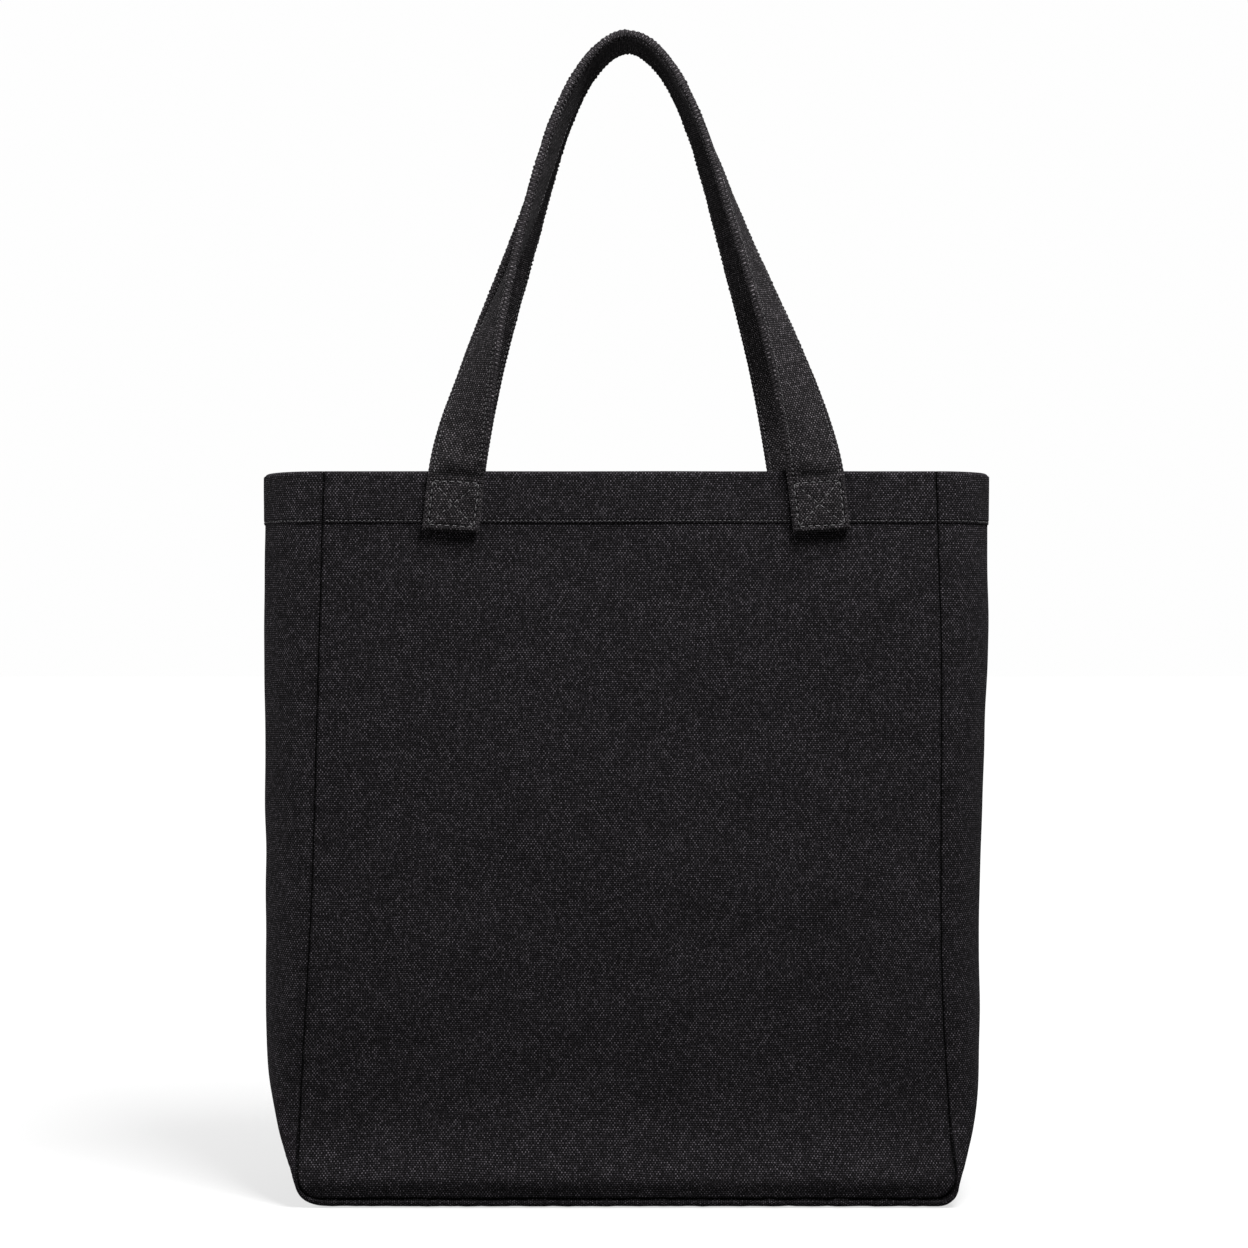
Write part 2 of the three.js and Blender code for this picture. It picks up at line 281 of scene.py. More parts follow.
def make_piece(name, points, faces, material, cloth=None, tone_wear_and_painted_shade=None):
    """A mesh object with smooth faces, its cloth coordinates and a tone attribute, which holds
    each stitch's tone, and the wear and painted shade of the cloth.
    """
    mesh = bpy.data.meshes.new(name)
    mesh.from_pydata(np.asarray(points).reshape(-1, 3).tolist(), [], [list(f) for f in faces])
    mesh.polygons.foreach_set("use_smooth", np.ones(len(mesh.polygons), bool))
    corners = np.zeros(len(mesh.loops), int)
    mesh.loops.foreach_get("vertex_index", corners)
    if cloth is not None:
        layer = mesh.uv_layers.new(name="cloth")
        layer.uv.foreach_set("vector", np.asarray(cloth).reshape(-1, 2)[corners].ravel())
    tone_wear_and_shade_layer = mesh.attributes.new("tone_wear_and_painted_shade", "FLOAT", "POINT")
    if tone_wear_and_painted_shade is not None:
        tone_wear_and_shade_layer.data.foreach_set("value", np.asarray(tone_wear_and_painted_shade, np.float32).ravel())
    mesh.materials.append(material)
    mesh.validate()
    piece = bpy.data.objects.new(name, mesh)
    bpy.context.scene.collection.objects.link(piece)
    return piece


def face_outwards(piece):
    """Turns a closed mesh's faces outwards."""
    mesh = piece.data
    mesh.calc_loop_triangles()
    co = np.array([v.co for v in mesh.vertices])
    tri = np.array([t.vertices for t in mesh.loop_triangles])
    volume = np.einsum("ij,ij->i", co[tri[:, 0]], np.cross(co[tri[:, 1]], co[tri[:, 2]])).sum()
    if volume < 0:
        mesh.flip_normals()
    return piece


def settings():
    """The four groups of settings, in the scene."""
    scene = bpy.context.scene
    return scene.tote_cloth, scene.tote_handles, scene.tote_stitching, scene.tote_stage


# ---- Materials ---------------------------------------------------------------------


YARN_ROUND = 0.7           # lower makes the yarns look fuller
WEFT_HEIGHT = 0.45         # of the level yarns, beside the upright ones
YARN_WANDER = 1.0 * MM     # how far an upright yarn strays sideways
YARN_SAG = 6 * MM          # how far a level yarn rises and falls
SLUB = 110.0               # thick places in a metre of yarn
PAINTED_GLINT_CONTRAST = 4.8         # of the painted glints on the yarn crowns, and the painted shade between them
CLOUDY = 0.42              # of the faint clouds in the dye


class Nodes:
    """Short ways to add and link shader nodes."""

    def __init__(self, name):
        self.material = bpy.data.materials.new(name)
        self.material.use_nodes = True
        self.tree = self.material.node_tree
        self.shader = self.tree.nodes["Principled BSDF"]

    def add(self, kind, inputs=(), **options):
        node = self.tree.nodes.new(kind)
        for key, value in options.items():
            setattr(node, key, value)
        for key, value in dict(inputs).items():
            self.put(node.inputs[key], value)
        return node

    def put(self, socket, value):
        if isinstance(value, bpy.types.NodeSocket):
            self.tree.links.new(value, socket)
        else:
            socket.default_value = value

    def math(self, operation, *values):
        node = self.add("ShaderNodeMath", operation=operation)
        for socket, value in zip(node.inputs, values):
            self.put(socket, value)
        return node.outputs[0]

    def gain(self, value, factor, base=0.0):
        """A changing value, times a factor, plus a base."""
        return self.math("MULTIPLY_ADD", value, factor, base)

    def times(self, *values):
        product = values[0]
        for value in values[1:]:
            product = self.math("MULTIPLY", product, value)
        return product

    def parts(self, vector):
        return self.add("ShaderNodeSeparateXYZ", {"Vector": vector}).outputs

    def noise(self, vector, scale, detail=2.0, roughness=0.5):
        node = self.add("ShaderNodeTexNoise",
                        {"Vector": vector, "Scale": scale, "Detail": detail,
                         "Roughness": roughness})
        return node.outputs["Fac"]

    def stretch(self, vector, scale):
        node = self.add("ShaderNodeVectorMath", operation="MULTIPLY")
        self.put(node.inputs[0], vector)
        self.put(node.inputs[1], scale)
        return node.outputs[0]

    def bump(self, height, distance, strength):
        node = self.add("ShaderNodeBump", {"Height": height, "Distance": distance,
                                           "Strength": strength})
        self.put(self.shader.inputs["Normal"], node.outputs[0])

    def shade(self, color, factor):
        """A colour that is made darker or lighter by a changing factor."""
        node = self.add("ShaderNodeVectorMath", operation="SCALE")
        self.put(node.inputs[0], color)
        self.put(node.inputs["Scale"], factor)
        return node.outputs[0]


def plain_weave(nodes, across, along):
    """Height and tone of plain weave at a place that is counted in yarns."""
    wave_across = nodes.math("SINE", nodes.times(across, math.pi))
    wave_along = nodes.math("SINE", nodes.times(along, math.pi))
    over = nodes.math("GREATER_THAN", nodes.times(wave_across, wave_along), 0.0)
    round_across = nodes.math("ABSOLUTE", wave_across)
    round_along = nodes.math("ABSOLUTE", wave_along)
    warp = nodes.times(nodes.math("POWER", round_across, YARN_ROUND), round_along)
    weft = nodes.times(nodes.math("POWER", round_along, YARN_ROUND), round_across)
    height = nodes.add("ShaderNodeMix", {"Factor": over, "A": nodes.times(weft, WEFT_HEIGHT),
                                         "B": warp}, data_type="FLOAT").outputs["Result"]
    cell = nodes.add("ShaderNodeCombineXYZ", {"X": nodes.math("FLOOR", across),
                                              "Y": nodes.math("FLOOR", along)}).outputs[0]
    chance = nodes.add("ShaderNodeTexWhiteNoise", {"Vector": cell},
                       noise_dimensions="2D").outputs["Value"]
    return height, chance


def woven(name, color, warp_pitch, weft_pitch, relief, sheen):
    """Dyed cotton cloth in plain weave, with uneven yarns, faint clouds and lint, painted glints
    on the yarn crowns with painted shade between them, and worn places and painted shade read from
    the tone attribute.
    """
    nodes = Nodes(name)
    cloth = nodes.add("ShaderNodeUVMap", uv_map="cloth").outputs["UV"]
    place = nodes.add("ShaderNodeTexCoord").outputs["Object"]
    wander = nodes.noise(place, 130.0, 1.0)
    rise = nodes.gain(nodes.noise(place, 95.0, 1.0), 0.12, nodes.noise(place, 11.0, 1.0))
    bend = nodes.add("ShaderNodeCombineXYZ", {"X": wander, "Y": rise}).outputs[0]
    bent = nodes.add("ShaderNodeVectorMath", operation="MULTIPLY_ADD")
    nodes.put(bent.inputs[0], bend)
    nodes.put(bent.inputs[1], (YARN_WANDER, YARN_SAG, 0))
    nodes.put(bent.inputs[2], cloth)
    parts = nodes.parts(bent.outputs[0])
    height, chance = plain_weave(nodes, nodes.math("DIVIDE", parts["X"], warp_pitch),
                                 nodes.math("DIVIDE", parts["Y"], weft_pitch))
    warp_yarn = nodes.noise(nodes.stretch(cloth, (1 / warp_pitch, SLUB, 0)), 1.0, 1.0)
    weft_yarn = nodes.noise(nodes.stretch(cloth, (SLUB, 1 / weft_pitch, 0)), 1.0, 1.0)
    clouds = nodes.noise(place, 70.0, 4.0, 0.62)
    grain = nodes.noise(place, 1300.0, 2.0, 0.7)
    lint = nodes.math("GREATER_THAN", nodes.noise(place, 420.0, 0.0), 0.8)
    tone_wear_and_painted_shade = nodes.add("ShaderNodeAttribute", attribute_name="tone_wear_and_painted_shade").outputs["Fac"]

    # Painted glints: the colour is lighter on the crowns of the yarns, and darker between them,
    # which is painted shade.
    bright = nodes.gain(nodes.math("POWER", chance, 2.0), 1.65, 0.45)
    painted_glints = nodes.times(nodes.math("POWER", height, 2.0), bright)
    # The last factor darkens the colour where the tone attribute is below zero: painted shade in
    # the seams, a painted shadow under the hem's stitches and painted shade in a strap's crease.
    factor = nodes.times(nodes.gain(painted_glints, PAINTED_GLINT_CONTRAST, 0.1),
                         nodes.gain(nodes.math("ADD", warp_yarn, weft_yarn), 0.6, 0.4),
                         nodes.gain(clouds, 2 * CLOUDY, 1 - CLOUDY),
                         nodes.gain(grain, 0.8, 0.6),
                         nodes.gain(nodes.math("MINIMUM", tone_wear_and_painted_shade, 0.0), 1.0, 1.0))
    # Lighter where the tone attribute is above zero: wear along the rim's fold and along a strap's
    # edges.
    factor = nodes.gain(nodes.math("MAXIMUM", tone_wear_and_painted_shade, 0.0), 0.35, factor)
    factor = nodes.gain(lint, 0.8, factor)
    nodes.put(nodes.shader.inputs["Base Color"], nodes.shade(color, factor))
    nodes.put(nodes.shader.inputs["Roughness"], nodes.gain(height, -0.12, 0.96))
    nodes.bump(nodes.gain(grain, 0.35, height), relief, 0.8)
    nodes.shader.inputs["Specular IOR Level"].default_value = 0.04
    nodes.shader.inputs["Sheen Weight"].default_value = sheen
    nodes.shader.inputs["Sheen Roughness"].default_value = 0.55
    nodes.shader.inputs["Sheen Tint"].default_value = (0.75, 0.74, 0.77, 1)
    return nodes.material


def spun(name, color, pitch):
    """Twisted sewing thread: plies that run round it, painted shade in the grooves between them,
    and a soft gloss.
    """
    nodes = Nodes(name)
    parts = nodes.parts(nodes.add("ShaderNodeUVMap", uv_map="cloth").outputs["UV"])
    lay = nodes.math("ADD", nodes.math("DIVIDE", parts["Y"], pitch), parts["X"])
    ply = nodes.math("ABSOLUTE", nodes.math("SINE", nodes.times(lay, math.pi)))
    fuzz = nodes.noise(nodes.add("ShaderNodeTexCoord").outputs["Object"], 2600.0, 2.0)
    tone_of_stitch = nodes.add("ShaderNodeAttribute", attribute_name="tone_wear_and_painted_shade").outputs["Fac"]
    # Darker in the grooves between the plies: painted shade.
    factor = nodes.times(nodes.gain(ply, 0.6, 0.35), nodes.gain(fuzz, 0.9, 0.55),
                         nodes.gain(tone_of_stitch, 0.9, 0.55))
    nodes.put(nodes.shader.inputs["Base Color"], nodes.shade(color, factor))
    nodes.put(nodes.shader.inputs["Roughness"], nodes.gain(fuzz, 0.3, 0.42))
    nodes.bump(ply, 0.08 * MM, 0.7)
    nodes.shader.inputs["Sheen Weight"].default_value = 0.1
    return nodes.material


def material(name):
    """A finish by its name, made once."""
    found = bpy.data.materials.get(name)
    if found:
        return found
    cloth, _, stitching, _ = settings()
    warp, weft = cloth.warp_pitch, cloth.weft_pitch
    if name == "black_canvas":
        return woven(name, cloth.color, warp, weft, 0.12 * MM, 0.006)
    if name == "strap_canvas":
        return woven(name, cloth.strap_color, warp, weft, 0.14 * MM, 0.008)
    if name == "binding_tape":
        return woven(name, cloth.binding_color, 0.5 * MM, 0.7 * MM, 0.1 * MM, 0.005)
    return spun(name, stitching.color, 0.55 * MM)


def finish_piece(piece, slot, body, *nodes):
    """Puts a finished piece in the frame: hides the CAD nodes it stands for and hangs it on its
    body. Its slot is not used.
    """
    if nodes:
        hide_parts(*nodes)
    if body:
        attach(piece, body)
    return piece


# ---- The shape of the body ---------------------------------------------------------

STRIP_SEED = 41
FLOOR_GAP = 0.02 * MM
ROUND_POWER = 2.0      # a gusset's cross-section is an ellipse
FLAT_POWER = 9.0       # the base's cross-section is flat, with rolled edges
CORNER_FILL = 1.25     # how quickly a gusset fills out above its corner
EDGE_STEPS = tuple(np.array([0, 0.15, 0.4, 0.75, 1.15, 1.7, 2.4, 3.4, 4.6]) * MM)
CROSS_STEPS = (0, 0.05 * MM)
CLOTH_STEP = 2.2 * MM
RIM_STEPS = 8
SWAY_LOW, SWAY_HIGH = 22 * MM, 330 * MM        # heights between which the right seam sways
SWAY_RIGHT = 5.5 * MM
SPLAY_LEFT, SPLAY_LOW, SPLAY_HIGH = 3.2 * MM, 40 * MM, 190 * MM
TUCK_RIGHT, TUCK_LOW, TUCK_HIGH = 2.6 * MM, 15 * MM, 75 * MM
STRIP_FOLLOWS = 0.9    # how much of the right seam's sway the whole gusset shares
CALM_REACH = 16 * MM   # beside a seam the soft waves fade over this
PATCH_CALM = 14 * MM   # and beside a handle's end over this
PATCH_GRIP, PATCH_GRIP_REACH = 0.45 * MM, 6 * MM
GATHER_REACH, GATHER_LENGTH = 7 * MM, 13 * MM
RELIEF_REACH = 3 * MM  # beside a seam the hem's relief fades over this
HEM_PROUD, HEM_EDGE, HEM_EDGE_RISE = 0.8 * MM, 1.5 * MM, 0.7 * MM
HEM_SINK, HEM_SINK_REACH = 0.45 * MM, 0.7 * MM
SEAM_DRAW_REACH = 60 * MM
STRIP_WAVE_SEED = 51


def bulge_points(half_depth, bulge, power, turn):
    """Depth and reach of the strip that bulges from the front to the back seam."""
    across = np.cos(turn)
    depth = -half_depth * np.sign(across) * np.abs(across) ** (2 / power)
    out = bulge * np.maximum(0, np.sin(turn)) ** (2 / power)
    return depth, out


def seam_sway(height, side):
    """How far a side seam is drawn inwards at a height.

    The left one splays at its foot, and the right one is tucked in there.
    """
    right = np.asarray(side) > 0
    share = np.clip((height - SWAY_LOW) / (SWAY_HIGH - SWAY_LOW), 0, 1)
    drawn = SWAY_RIGHT * np.sin(math.pi * share ** 0.62) ** 1.5
    tuck = TUCK_RIGHT * ease((TUCK_HIGH - height) / (TUCK_HIGH - TUCK_LOW))
    splay = SPLAY_LEFT * ease((SPLAY_HIGH - height) / (SPLAY_HIGH - SPLAY_LOW))
    return np.where(right, drawn + tuck, -splay) * ease(np.abs(side) / 0.5)


class Body:
    """The bag's cross-section at every height of its seams."""

    SAMPLES = 400

    def __init__(self, cloth):
        self.cloth = cloth
        self.heights = np.concatenate([
            np.linspace(SEAM_DROP, SEAM_DROP + 2 * cloth.corner_reach, 80),
            np.linspace(SEAM_DROP + 2 * cloth.corner_reach, RIM + 5 * MM, 60)[1:]])
        above = self.heights - SEAM_DROP
        clear = np.maximum(0, above - 0.7 * cloth.corner_radius) / cloth.corner_reach
        filled = 1 - np.exp(-clear ** CORNER_FILL)
        full = mix(cloth.low_bulge, MOUTH_BULGE, self.heights / RIM)
        low = mix(SEAM_DROP, cloth.corner_bulge, ease(above / cloth.corner_radius))
        self.bulges = mix(low, full, filled)
        self.powers = mix(FLAT_POWER, ROUND_POWER, filled)
        self.turns = np.linspace(0, math.pi, self.SAMPLES)
        self.depths, self.lengths = self.fit_depths()

    def fit_depths(self):
        """Half depths that keep the strip's width, and the length along each section."""
        low = np.zeros(len(self.heights))
        high = np.full(len(self.heights), self.cloth.gusset_width)
        for _ in range(40):
            middle = (low + high) / 2
            lengths = self.run_lengths(middle)
            short = lengths[:, -1] < self.cloth.gusset_width
            low, high = np.where(short, middle, low), np.where(short, high, middle)
        return low, self.run_lengths(low)

    def run_lengths(self, half_depths):
        depth, out = bulge_points(half_depths[:, None], self.bulges[:, None],
                                  self.powers[:, None], self.turns)
        steps = np.hypot(np.diff(depth), np.diff(out))
        return np.concatenate([np.zeros((len(depth), 1)), np.cumsum(steps, 1)], 1)

    def half_depth(self, z):
        return np.interp(z, self.heights, self.depths)

    def bulge(self, z):
        return np.interp(z, self.heights, self.bulges)

    def power(self, z):
        return np.interp(z, self.heights, self.powers)

    def half_panel(self, z):
        """Half the width of a panel, with its rounded bottom corners."""
        radius = self.cloth.corner_radius
        along = (z - SEAM_DROP) / (RIM - SEAM_DROP)
        wide = HALF_BOTTOM + (HALF_BOTTOM - HALF_TOP) * radius / RIM
        straight = mix(wide, HALF_TOP, np.minimum(along, 1))
        below = np.clip(SEAM_DROP + radius - z, 0, radius)
        return straight - radius + np.sqrt(np.maximum(0, radius ** 2 - below ** 2))

    def turn_at(self, z, place):
        """The turn round the section at a height, at a length of cloth from the seam."""
        row = np.interp(z, self.heights, np.arange(len(self.heights)))
        low = np.clip(np.floor(row).astype(int), 0, len(self.heights) - 2)
        share = row - low
        lengths = mix(self.lengths[low], self.lengths[low + 1], share)
        return np.interp(place, lengths, self.turns)

    def dip(self, distance):
        """How far the cloth has turned inwards at a distance from a seam."""
        radius = self.cloth.groove
        left = np.clip(radius - distance, 0, radius)
        return radius - np.sqrt(radius ** 2 - left ** 2)

    def gather(self, run, distance, seed):
        """The small gathers beside a seam: run is the place along it."""
        along = np.stack([run, run * 0], -1)
        fade = np.exp(-np.maximum(distance, 0) / GATHER_REACH)
        return self.cloth.pucker * fade * ripple(along, GATHER_LENGTH, seed)

    def hem_relief(self, z):
        """The outside stands a little proud over the hem, and dips at its stitches."""
        proud = HEM_PROUD * ease((z - HEM_STITCH + HEM_EDGE) / HEM_EDGE_RISE)
        return proud - HEM_SINK * hump(z, HEM_STITCH, HEM_SINK_REACH)

    def seam_distance(self, x, z):
        """How far a place on a panel is from its nearest seam, its side and its foot."""
        radius = self.cloth.corner_radius
        side = self.half_panel(np.maximum(z, SEAM_DROP + radius)) - np.abs(x)
        foot = z - SEAM_DROP + 0 * x
        corner = radius - np.hypot(np.maximum(radius - side, 0), np.maximum(radius - foot, 0))
        near = np.minimum(side, foot)
        distance = np.maximum(0, np.where((side < radius) & (foot < radius), corner, near))
        return distance, side, foot

    def panel_points(self, face, x, z, inset):
        """Points of a panel, sunk at its seams and softly waved, at x and height."""
        x, z, inset = np.broadcast_arrays(x, z, inset)
        distance, side, foot = self.seam_distance(x, z)
        flat = np.stack([x, z], -1)
        seed = 11 if face < 0 else 12
        patch = np.min([np.hypot(np.maximum(np.abs(x - c) - END_HALF.x, 0),
                                 np.maximum(np.abs(z - END_MIDDLE) - END_HALF.z, 0))
                        for c in END_PLACES], axis=0)
        calm = (1 - np.exp(-distance / CALM_REACH)) * (1 - hump(patch, 0, PATCH_CALM))
        wave = self.cloth.slack * (0.75 * ripple(flat, 120 * MM, seed)
                                   + 0.3 * ripple(flat, 45 * MM, seed + 10))
        held = PATCH_GRIP * hump(patch, 0, PATCH_GRIP_REACH)
        run = np.where(side < foot, z, x)
        off = wave * calm + held - self.dip(distance) + self.gather(run, distance, seed + 20)
        outside = (inset == 0) * np.clip(distance / RELIEF_REACH, 0, 1)
        off += self.hem_relief(z) * outside
        drawn = seam_sway(z, np.sign(x)) * ease(1 - side / SEAM_DRAW_REACH)
        x = x - np.sign(x) * drawn
        return np.stack([x, face * (self.half_depth(z) - inset + off), z], -1), flat

    def strip_points(self, place, across):
        """Points of the strip between the panels, at a place on its seam.

        A place is the seam's x and height, the two parts of the way out, how far
        inside the outer face it lies, and its run along the strip.
        """
        x, height, out_x, out_z, inset, run = place
        width = self.cloth.gusset_width
        turn = self.turn_at(height, across)
        distance = np.minimum(across, width - across)
        flat = np.stack(np.broadcast_arrays(across, run), -1)
        depth, out = bulge_points(self.half_depth(height), self.bulge(height),
                                  self.power(height), turn)
        spot = np.stack([x + out_x * out, depth, height + out_z * out], -1)
        calm = 1 - np.exp(-distance / CALM_REACH)
        slack = self.cloth.slack * (0.5 if height > SEAM_DROP + self.cloth.corner_radius else 0.2)
        wave = slack * (0.8 * ripple(spot, 90 * MM, STRIP_SEED)
                        + 0.4 * ripple(spot, 38 * MM, STRIP_WAVE_SEED))
        along = height if abs(out_x) > 0.7 else x
        off = wave * calm - self.dip(distance)
        off += self.gather(along + 0 * across, distance, STRIP_SEED)
        if inset == 0 and height > SEAM_DROP + self.cloth.corner_reach:
            off += self.hem_relief(height) * np.clip(distance / RELIEF_REACH, 0, 1)
        depth, out = bulge_points(self.half_depth(height) - inset + off,
                                  self.bulge(height) - inset + off, self.power(height), turn)
        follow = STRIP_FOLLOWS if out_x > 0 else 0
        back = seam_sway(height, out_x) * mix(np.cos(turn) ** 2, 1, follow)
        x = x + out_x * out - out_x * back
        return np.stack([x, depth, np.maximum(height + out_z * out, FLOOR_GAP)], -1), flat


def hem_profile(cloth, start, edge):
    """Rows of a hemmed piece: up the outside, over the rim, and down the inside.

    Each row is its height and how far it lies inside the outer face.
    """
    hem = 3 * cloth.thickness
    radius = hem / 2
    fold = RIM - cloth.hem_depth
    outside = spread(start, RIM - radius, CLOTH_STEP, edge, (0, 0.8 * MM, 2 * MM))
    below = outside[outside < HEM_STITCH - 3 * MM]
    above = outside[outside > HEM_STITCH + 3 * MM]
    near = HEM_STITCH + np.arange(-2.7, 2.8, 0.45) * MM    # close rows, for the stitched dip
    outside = np.concatenate([below, near, above])
    rows = [(z, 0.0) for z in outside]
    for turn in np.linspace(0, math.pi, RIM_STEPS)[1:-1]:
        rows.append((RIM - radius + radius * math.sin(turn), radius - radius * math.cos(turn)))
    rows += [(z, hem) for z in spread(fold + radius, RIM - radius, CLOTH_STEP)[::-1]]
    for turn in np.linspace(0, math.pi / 2, 4)[1:]:
        step = hem - cloth.thickness
        rows.append((fold + radius - radius * math.sin(turn), hem - step * (1 - math.cos(turn))))
    rows += [(z, cloth.thickness) for z in spread(start, fold - 0.4 * MM, CLOTH_STEP, edge)[::-1]]
    return np.array(rows)


def columns_across(half, edge_steps, count):
    """Column places from -half to half, closer together beside the two seams."""
    middle = (half - edge_steps[-1]) * np.linspace(-1, 1, count)[1:-1, None]
    left = [-half + e for e in edge_steps]
    right = [half - e for e in reversed(edge_steps)]
    return np.stack([*left, *middle, *right], -1)


def close_grid(rows, columns):
    """Faces that close a wrapped grid's two open sides, as strips across its wall."""
    faces = []
    for j in (0, columns - 1):
        for i in range(rows // 2 - 1):
            a, b = i, i + 1
            c, d = rows - 2 - i, rows - 1 - i
            quad = [a * columns + j, b * columns + j, c * columns + j, d * columns + j]
            faces.append(quad if j == 0 else quad[::-1])
    if rows % 2:
        for j in (0, columns - 1):
            m = rows // 2
            tri = [(m - 1) * columns + j, m * columns + j, (m + 1) * columns + j]
            faces.append(tri if j == 0 else tri[::-1])
    return faces


def rim_wear_and_painted_shade(z, distance):
    """Lighter along the rim's fold, where the cloth is worn; painted shade inside the seams and a
    painted shadow just under the hem's stitches.
    """
    rim = np.clip(1 - np.abs(z - RIM) / (1.6 * MM), 0, 1)
    # Painted shade in the seams and a painted shadow below the hem's stitches, given as values
    # below zero.
    seam = 0.7 * hump(distance, 0, 0.9 * MM)
    hem = 0.6 * hump(z, HEM_STITCH - 1.3 * MM, 0.6 * MM)
    return rim * (distance > 2 * MM) - np.maximum(seam, hem)


def panel_piece(name, face, body, cloth):
    """One panel with its turned hem."""
    rows = hem_profile(cloth, SEAM_DROP, EDGE_STEPS)
    z, inset = rows[:, 0][:, None], rows[:, 1][:, None]
    x = columns_across(body.half_panel(rows[:, 0]), EDGE_STEPS, 160)
    points, flat = body.panel_points(face, x, z, inset)
    faces = [*grid_quads(*x.shape, wrap=True), *close_grid(*x.shape)]
    tone_wear_and_painted_shade = rim_wear_and_painted_shade(points[..., 2], body.seam_distance(x, z)[0])
    piece = make_piece(name, points, faces, material("black_canvas"), flat, tone_wear_and_painted_shade)
    return face_outwards(piece)


def strip_piece(name, places, body, cloth):
    """A stretch of the strip between the panels, from the places on its seam."""
    across = spread(0, cloth.gusset_width, CLOTH_STEP, EDGE_STEPS, EDGE_STEPS)
    rows = [body.strip_points(place, across) for place in places]
    points, flat = (np.stack(part) for part in zip(*rows))
    shape = points.shape[:2]
    faces = [*grid_quads(*shape, wrap=True), *close_grid(*shape)]
    tone_wear_and_painted_shade = rim_wear_and_painted_shade(points[..., 2], np.minimum(across, cloth.gusset_width - across))
    piece = make_piece(name, points, faces, material("black_canvas"), flat, tone_wear_and_painted_shade)
    return face_outwards(piece)


def seam_place(body, side, height):
    """A place on the seam and the way out of the bag there."""
    radius = body.cloth.corner_radius
    below = np.clip(SEAM_DROP + radius - height, 0, radius)
    turn = math.asin(below / radius)
    return side * float(body.half_panel(height)), height, side * math.cos(turn), -math.sin(turn)


def gusset_rows(body, side):
    rows = hem_profile(body.cloth, CROSS_SEAM, CROSS_STEPS)
    return [(*seam_place(body, side, z), inset, side * (z - CROSS_SEAM)) for z, inset in rows]


def seam_run(body, top):
    """Seam places from a height on the left, round the base, to it on the right."""
    radius = body.cloth.corner_radius
    side = spread(SEAM_DROP + radius, top, CLOTH_STEP, (), CROSS_STEPS)
    corner = SEAM_DROP + radius * (1 - np.cos(np.linspace(0, math.pi / 2, 14)))
    heights = np.concatenate([corner, side[1:]])
    right = [seam_place(body, 1, z) for z in heights]
    left = [seam_place(body, -1, z) for z in heights[::-1]]
    half = right[0][0]
    flat = [(x, SEAM_DROP, 0.0, -1.0) for x in spread(-half, half, 2 * CLOTH_STEP)[1:-1]]
    return [*left, *flat, *right]


def base_rows(body):
    places = seam_run(body, CROSS_SEAM - CROSS_GAP)
    outer = np.array([(x + ox * float(body.bulge(h)), h + oz * float(body.bulge(h)))
                      for x, h, ox, oz in places])
    run = run_along(outer)
    outside, inside = ([(*place, inset, r) for place, r in zip(places, run)]
                       for inset in (0.0, body.cloth.thickness))
    return outside + inside[::-1]


def binding_piece(name, face, body, cloth):
    """The tape that binds the seam allowance inside the bag."""
    inset, width, thickness = 1.0 * MM, 7.0 * MM, 3.4 * MM
    places = np.array(seam_run(body, RIM - cloth.hem_depth - 2 * CLEARANCE))
    run = run_along(places[:, :2])
    angles = np.linspace(0, 2 * math.pi, 16, endpoint=False)
    wide, thick = np.cos(angles), np.sin(angles)
    across = inset + width / 2 * (1 + np.sign(wide) * np.abs(wide) ** 0.35)
    off = thickness / 2 * (1 + np.sign(thick) * np.abs(thick) ** 0.6)
    x, height, out_x, out_z = places.T[:, :, None]
    z = height - out_z * across
    sway = 0.25 * MM * ripple(np.stack([run, run * 0], -1), 17 * MM, 71)[:, None]
    seat = body.half_depth(z) - cloth.thickness - 2 * CLEARANCE
    y = face * (seat - 0.96 * off - np.abs(sway))
    points = np.stack([x - out_x * (across + seam_sway(height, out_x)) + 0 * y, y, z], -1)
    girth = np.linspace(0, 2 * (width + thickness), len(angles))
    flat = np.stack(np.broadcast_arrays(girth, run[:, None]), -1)
    faces = [*tube_faces(*y.shape), *tube_ends(*y.shape)]
    piece = make_piece(name, points, faces, material("binding_tape"), flat)
    return face_outwards(piece)


# ---- Handles -----------------------------------------------------------------------

STRAP_EDGE_STEPS = tuple(np.array([0, 0.12, 0.4, 0.8, 1.3, 1.9, 2.5, 3.0, 3.4, 3.9, 4.6, 6]) * MM)
SCALLOP = 0.14 * MM      # how far the strap's edge bulges between its stitches
QUILT_SINK = 0.55 * MM   # how deep an end's stitches pull the cloth
TIP_ROUND = 2 * MM
BELLY = 1.1 * MM         # how far the strap stands off just above its end
CREASE = 0.7 * MM        # and how far it dips where the end's stitches stop


